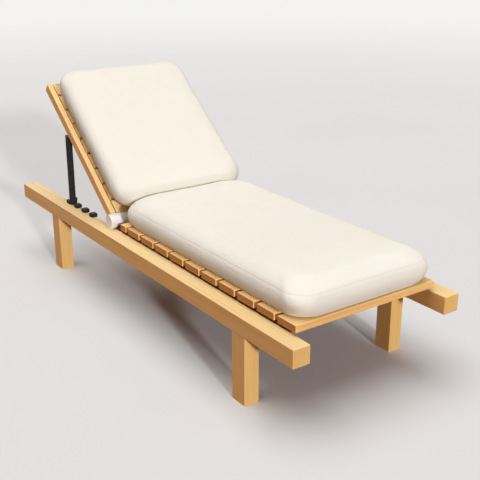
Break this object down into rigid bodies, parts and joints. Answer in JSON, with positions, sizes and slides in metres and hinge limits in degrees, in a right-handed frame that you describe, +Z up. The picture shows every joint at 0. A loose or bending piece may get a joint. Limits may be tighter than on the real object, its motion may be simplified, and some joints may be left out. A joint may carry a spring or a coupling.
{
  "type": "sun lounger",
  "caption": "Wooden sun lounger with a slatted deck, a reclining slatted backrest on a steel prop and rack, and loose cushions.",
  "frame": {"origin": "on the floor in the middle of the footprint of the whole lounger", "axes": "+X to the left side of someone lying on it, +Y to the head end along the rails, +Z up"},
  "size_m": [0.68, 2, 0.8537],
  "materials": {
    "honey_wood": "oiled light honey wood, fine straight grain",
    "dowel_wood": "plain turned beech",
    "cushion_fabric": "woven cream outdoor fabric over foam",
    "white_enamel": "satin white powder coat",
    "black_steel": "satin black powder coat",
    "zinc_steel": "zinc plated steel",
    "nylon": "natural nylon"
  },
  "bodies": {
    "root": {"right_side_rail": "honey_wood", "foot_leg_right": "honey_wood", "head_leg_right": "honey_wood", "right_deck_cleat": "honey_wood", "left_side_rail": "honey_wood", "foot_leg_left": "honey_wood", "head_leg_left": "honey_wood", "left_deck_cleat": "honey_wood", "foot_cross_rail": "honey_wood", "hinge_cross_rail": "honey_wood", "seat_slat_01": "honey_wood", "seat_slat_02": "honey_wood", "seat_slat_03": "honey_wood", "seat_slat_04": "honey_wood", "seat_slat_05": "honey_wood", "seat_slat_06": "honey_wood", "seat_slat_07": "honey_wood", "seat_slat_08": "honey_wood", "seat_slat_09": "honey_wood", "seat_slat_10": "honey_wood", "seat_slat_11": "honey_wood", "rack_tooth_right_1": "black_steel", "rack_tooth_right_2": "black_steel", "rack_tooth_right_3": "black_steel", "rack_tooth_right_4": "black_steel", "rack_tooth_left_1": "black_steel", "rack_tooth_left_2": "black_steel", "rack_tooth_left_3": "black_steel", "rack_tooth_left_4": "black_steel", "hinge_end_block_right": "white_enamel", "hinge_end_block_left": "white_enamel", "prop_bracket_right": "black_steel", "prop_bracket_left": "black_steel", "hinge_axle": "zinc_steel", "prop_pins": "black_steel", "end_block_bolts": "zinc_steel", "frame_dowels": "dowel_wood", "frame_screws": "zinc_steel", "seat_cushion": "cushion_fabric"},
    "backrest": {"back_stile_right": "honey_wood", "back_stile_left": "honey_wood", "back_slat_1": "honey_wood", "back_slat_2": "honey_wood", "back_slat_3": "honey_wood", "back_slat_4": "honey_wood", "back_slat_5": "honey_wood", "back_slat_6": "honey_wood", "back_slat_7": "honey_wood", "back_slat_8": "honey_wood", "back_slat_9": "honey_wood", "hinge_bush_right": "nylon", "hinge_bush_left": "nylon", "hinge_tube": "white_enamel", "back_slat_screws": "zinc_steel", "back_cushion": "cushion_fabric"},
    "prop": {"prop_strut_right": "black_steel", "prop_strut_left": "black_steel", "prop_crossbar": "black_steel"}
  },
  "joints": [
    {"name": "back_recline", "type": "hinge", "parent": "root", "child": "backrest", "pos_m": [0, 0.209, 0.3295], "axis": [1, 0, 0], "range_deg": [-33.1, 0]},
    {"name": "prop_fold", "type": "hinge", "parent": "root", "child": "prop", "pos_m": [0, 0.5808, 0.3225], "axis": [1, 0, 0], "range_deg": [-91.12, 0]}
  ],
  "couplings": [
    {"joint": "prop_fold", "follows": "back_recline", "ratio": 2.75}
  ]
}
